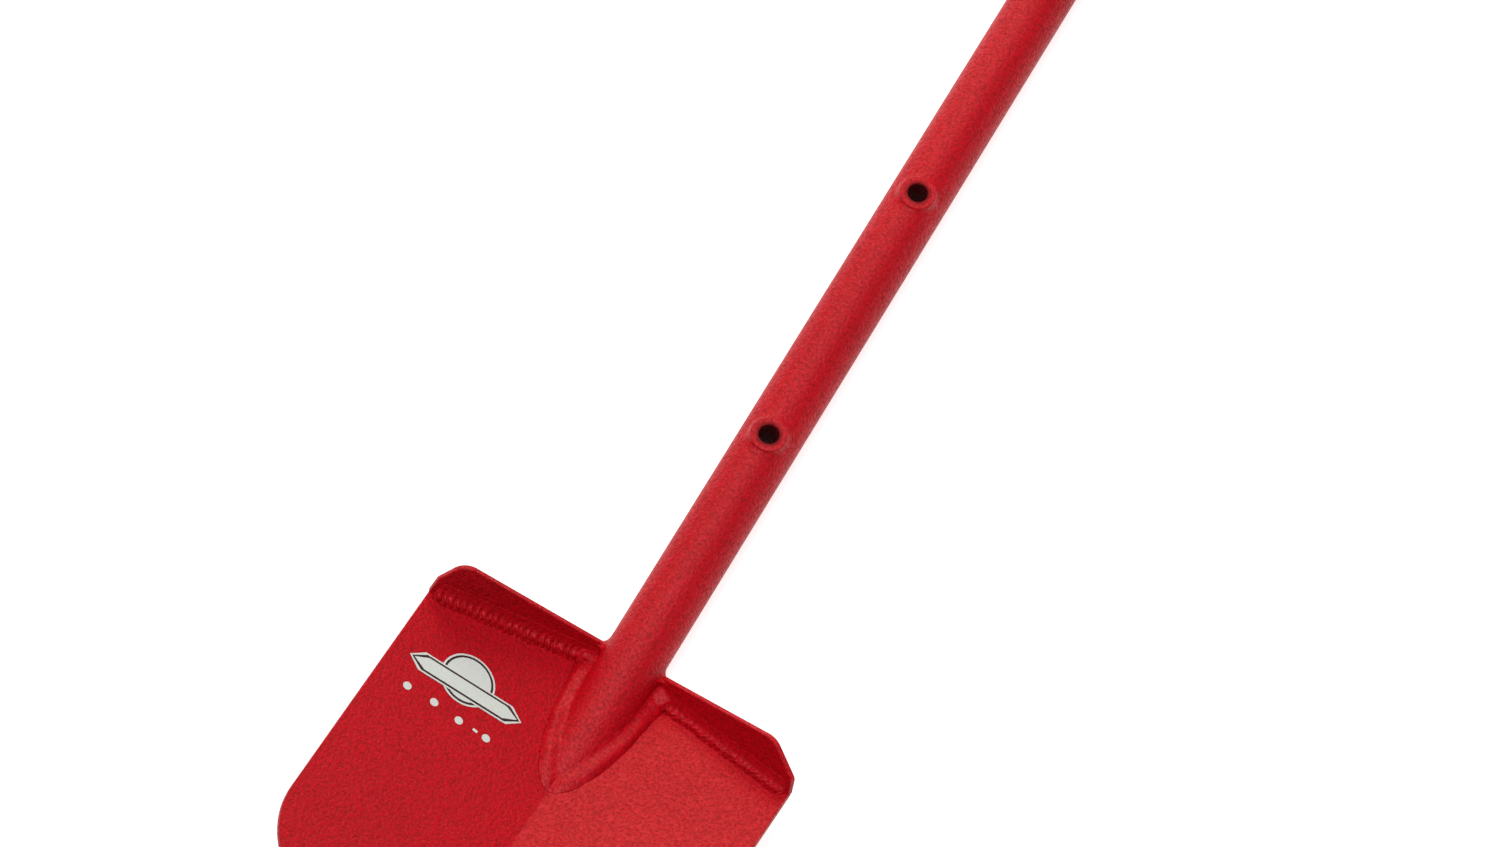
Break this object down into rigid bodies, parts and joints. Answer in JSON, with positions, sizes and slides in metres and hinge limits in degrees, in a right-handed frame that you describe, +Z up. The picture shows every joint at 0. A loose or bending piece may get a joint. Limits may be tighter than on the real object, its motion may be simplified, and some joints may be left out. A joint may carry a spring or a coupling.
{
  "type": "shovel",
  "caption": "Compact all-steel shovel: shallow V blade with foot steps, welded tube handle with through sleeves for a rack, and a T grip.",
  "frame": {"origin": "centre of the footprint on the floor that the tool lies on, back down", "axes": "+Y along the handle from blade to grip, +X to the right seen from the front with the grip up, +Z up, out of the blade's hollow front"},
  "size_m": [0.2026, 0.9142, 0.1009],
  "materials": {
    "blade": "textured red powder coat, satin",
    "steps": "textured red powder coat, satin",
    "handle": "textured red powder coat, satin",
    "weld_metal": "red powder coat over rippled weld bead",
    "emblem": "thin printed white film with a dark outline"
  },
  "bodies": {
    "root": {"blade": "blade", "step_left": "steps", "step_right": "steps", "handle_tube": "handle", "sleeve_lower": "handle", "sleeve_upper": "handle", "grip_tube": "handle", "grip_cap_left": "handle", "grip_cap_right": "handle", "socket_weld_left": "weld_metal", "socket_weld_right": "weld_metal", "step_weld_left": "weld_metal", "step_weld_right": "weld_metal", "step_end_weld_left": "weld_metal", "step_end_weld_right": "weld_metal", "heel_weld": "weld_metal", "grip_weld": "weld_metal", "sleeve_weld_lower_front": "weld_metal", "sleeve_weld_lower_back": "weld_metal", "sleeve_weld_upper_front": "weld_metal", "sleeve_weld_upper_back": "weld_metal"}
  },
  "joints": []
}
